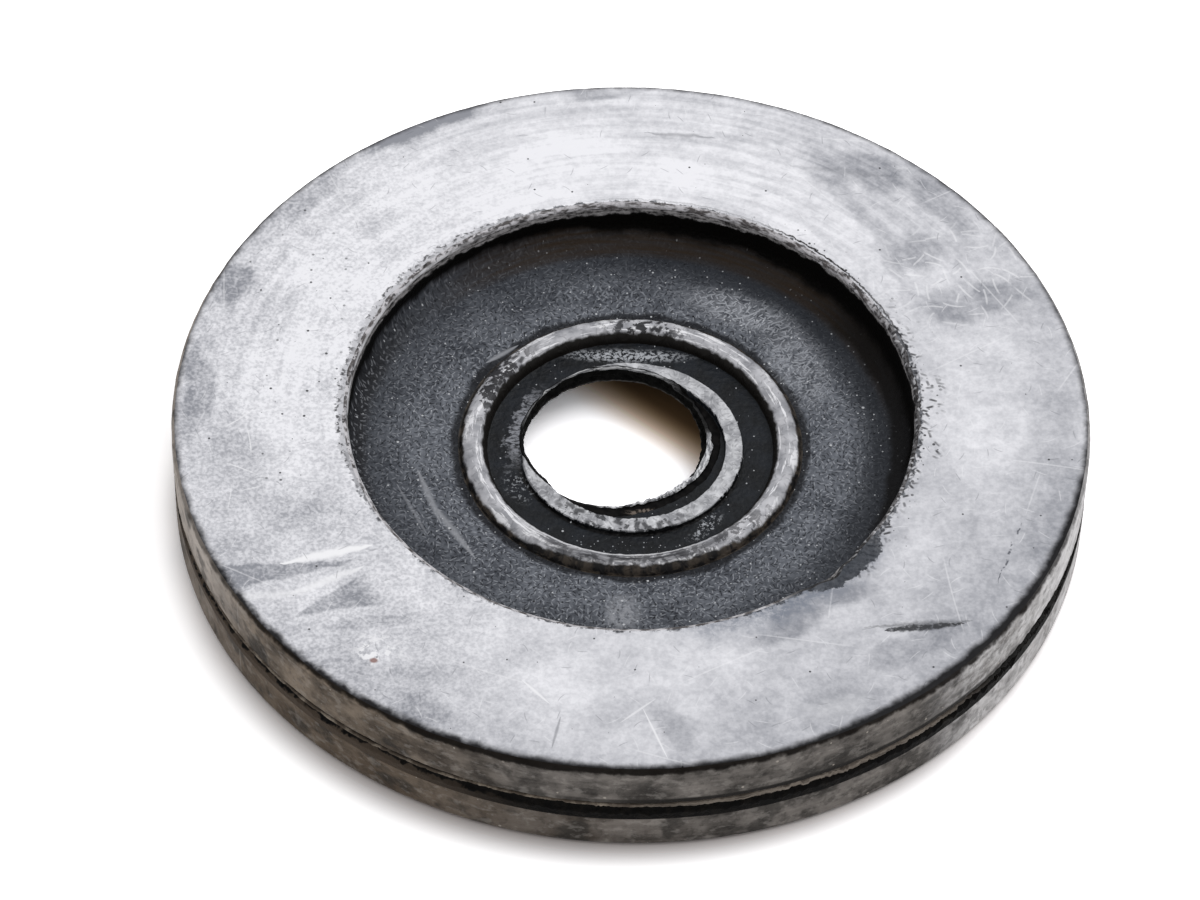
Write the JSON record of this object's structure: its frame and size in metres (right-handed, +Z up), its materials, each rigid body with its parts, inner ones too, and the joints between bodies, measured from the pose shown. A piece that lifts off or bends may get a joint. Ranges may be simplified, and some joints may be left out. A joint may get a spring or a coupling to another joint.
{
  "type": "rubber grommet",
  "caption": "Thick round rubber grommet with a thin recessed web, a raised bead and an off-centre hand-cut cable hole.",
  "frame": {"origin": "on the ring's axis, at the underside that the part rests on", "axes": "+Z up along the ring's axis and out of the top well; the hand-cut hole is offset towards -X and +Y"},
  "size_m": [0.0601, 0.0601, 0.0076],
  "materials": {
    "rubber": "worn, scuffed matt grey moulded rubber with paler rubbed faces and darker sheltered recesses"
  },
  "bodies": {
    "root": {"grommet": "rubber"}
  },
  "joints": []
}
